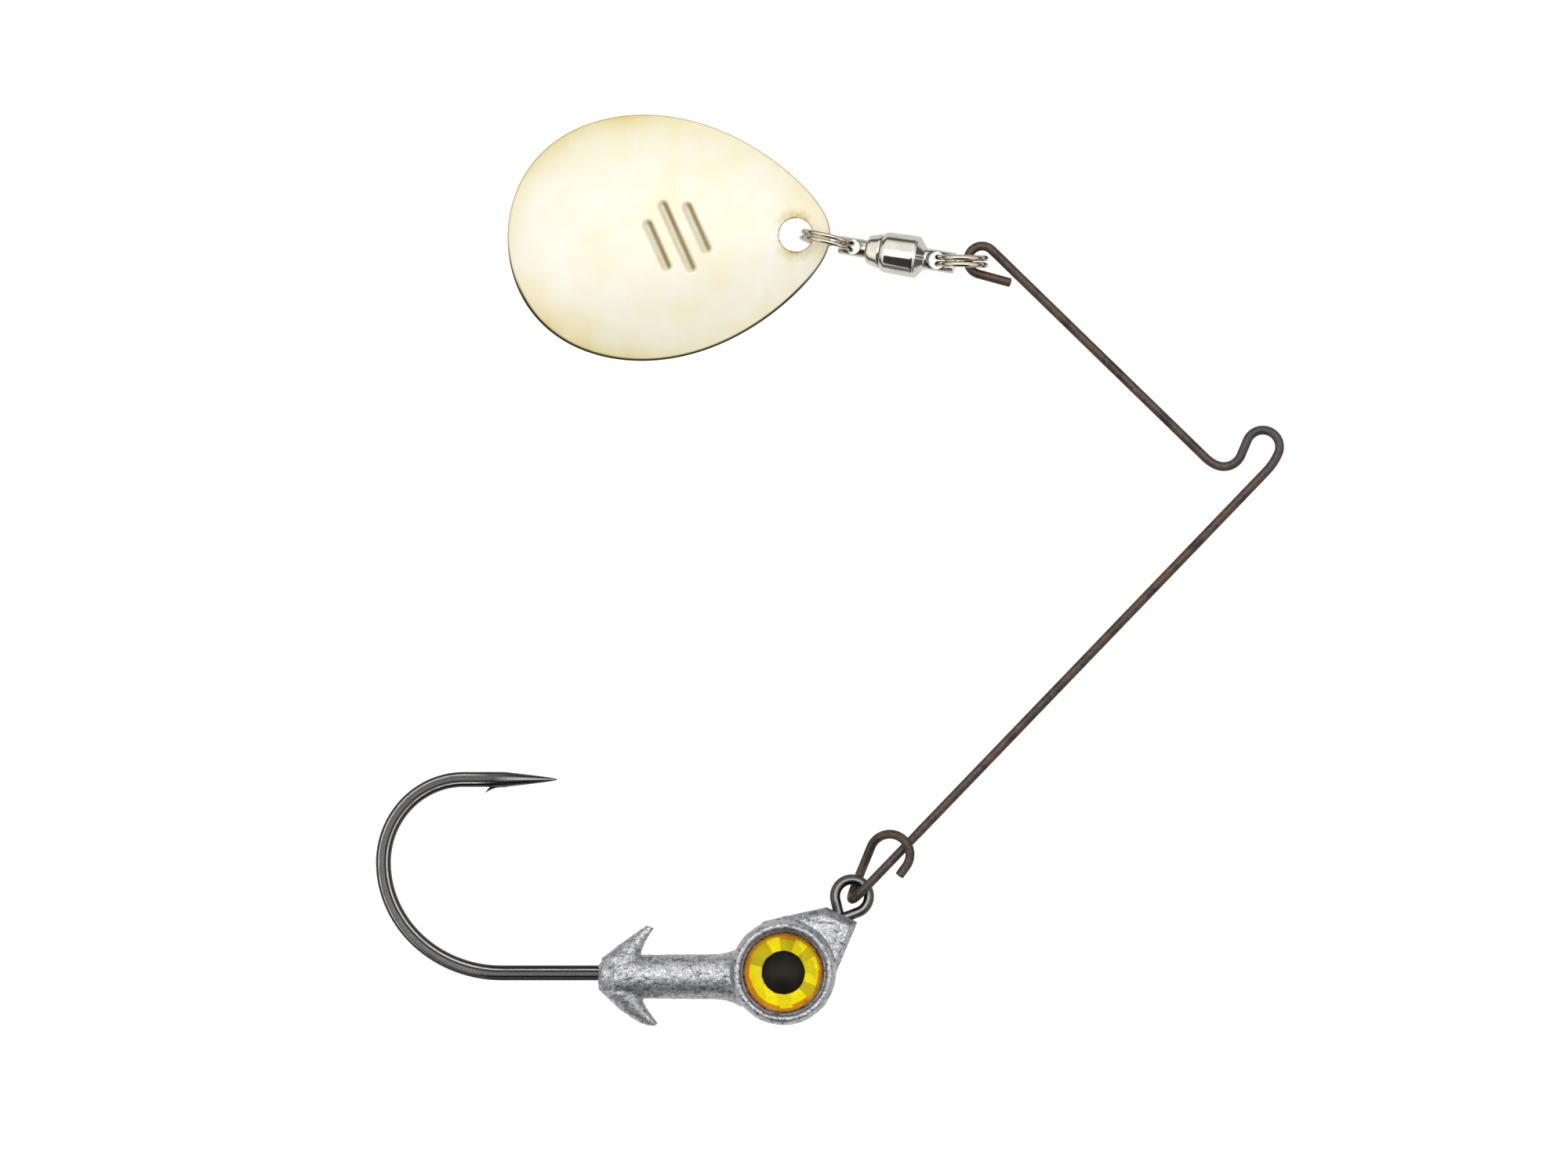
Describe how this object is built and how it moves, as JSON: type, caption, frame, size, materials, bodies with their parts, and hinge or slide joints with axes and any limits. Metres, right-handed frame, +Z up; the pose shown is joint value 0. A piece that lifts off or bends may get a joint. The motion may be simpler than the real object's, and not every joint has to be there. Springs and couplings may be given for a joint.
{
  "type": "jig spinner lure",
  "caption": "Jig spinner fishing lure: cast metal head with big eyes on a forged hook, a clipped-on wire arm and a domed spinner blade on a ball-bearing swivel.",
  "frame": {"origin": "centre of the lure's box at the level of the surface it lies on", "axes": "the lure lies on its side; +Z up through the thickness of the head, +X towards the line tie, -X towards the hook bend, +Y from the head towards the blade"},
  "size_m": [0.088, 0.0884, 0.008],
  "materials": {
    "cast_lead": "bare cast lead alloy, dull grey with dark pits",
    "hook_steel": "forged wire with a black nickel plate",
    "arm_wire": "spring steel wire with a bronze brown tarnish",
    "nickel_plate": "bright nickel plate with a warm tint",
    "ball_steel": "polished bearing steel",
    "washer_plastic": "natural nylon",
    "blade_plate": "polished brass sheet with a bright pale plate, worn gold at the edge",
    "eye_foil": "faceted yellow foil with a dark pupil",
    "eye_resin": "clear cast resin dome"
  },
  "bodies": {
    "jig": {"lead_head": "cast_lead", "hook": "hook_steel", "eye_foil_upper": "eye_foil", "eye_dome_upper": "eye_resin", "eye_foil_lower": "eye_foil", "eye_dome_lower": "eye_resin"},
    "arm": {"wire_arm": "arm_wire"},
    "arm_ring": {"arm_split_ring": "nickel_plate"},
    "swivel_body": {"swivel_barrel": "nickel_plate", "swivel_end_cap": "nickel_plate", "swivel_washer": "washer_plastic"},
    "ball_set": {"swivel_ball_1": "ball_steel", "swivel_ball_2": "ball_steel", "swivel_ball_3": "ball_steel", "swivel_ball_4": "ball_steel", "swivel_ball_5": "ball_steel", "swivel_ball_6": "ball_steel", "swivel_ball_7": "ball_steel", "swivel_ball_8": "ball_steel"},
    "rotor": {"swivel_rotor": "nickel_plate"},
    "blade_ring": {"blade_split_ring": "nickel_plate"},
    "blade_body": {"blade": "blade_plate"}
  },
  "joints": [
    {"name": "arm_swing", "type": "hinge", "parent": "jig", "child": "arm", "pos_m": [0.00218, -0.03168, 0.004], "axis": [0, 0, 1], "range_deg": [-70, 85]},
    {"name": "arm_ring_swing", "type": "hinge", "parent": "arm", "child": "arm_ring", "pos_m": [0.0134, 0.02987, 0.00506], "axis": [0, 1, 0], "range_deg": [-60, 60]},
    {"name": "swivel_swing", "type": "hinge", "parent": "arm_ring", "child": "swivel_body", "pos_m": [0.01043, 0.02995, 0.00459], "axis": [-0.1564, 0, 0.9877], "range_deg": [-60, 60]},
    {"name": "rotor_spin", "type": "hinge", "parent": "swivel_body", "child": "rotor", "pos_m": [0.0023, 0.03128, 0.0033], "axis": [0.975, -0.1599, 0.1544], "continuous": true},
    {"name": "ball_orbit", "type": "hinge", "parent": "swivel_body", "child": "ball_set", "pos_m": [0.0023, 0.03128, 0.0033], "axis": [0.975, -0.1599, 0.1544], "continuous": true},
    {"name": "blade_ring_swing", "type": "hinge", "parent": "rotor", "child": "blade_ring", "pos_m": [0.0023, 0.03128, 0.0033], "axis": [-0.1564, 0, 0.9877], "range_deg": [-70, 70]},
    {"name": "blade_flap", "type": "hinge", "parent": "blade_ring", "child": "blade_body", "pos_m": [-0.00079, 0.03251, 0.00163], "axis": [-0.0174, 0.9998, -0.0006], "range_deg": [-27, 53]}
  ],
  "couplings": [
    {"joint": "ball_orbit", "follows": "rotor_spin", "ratio": 0.5}
  ]
}
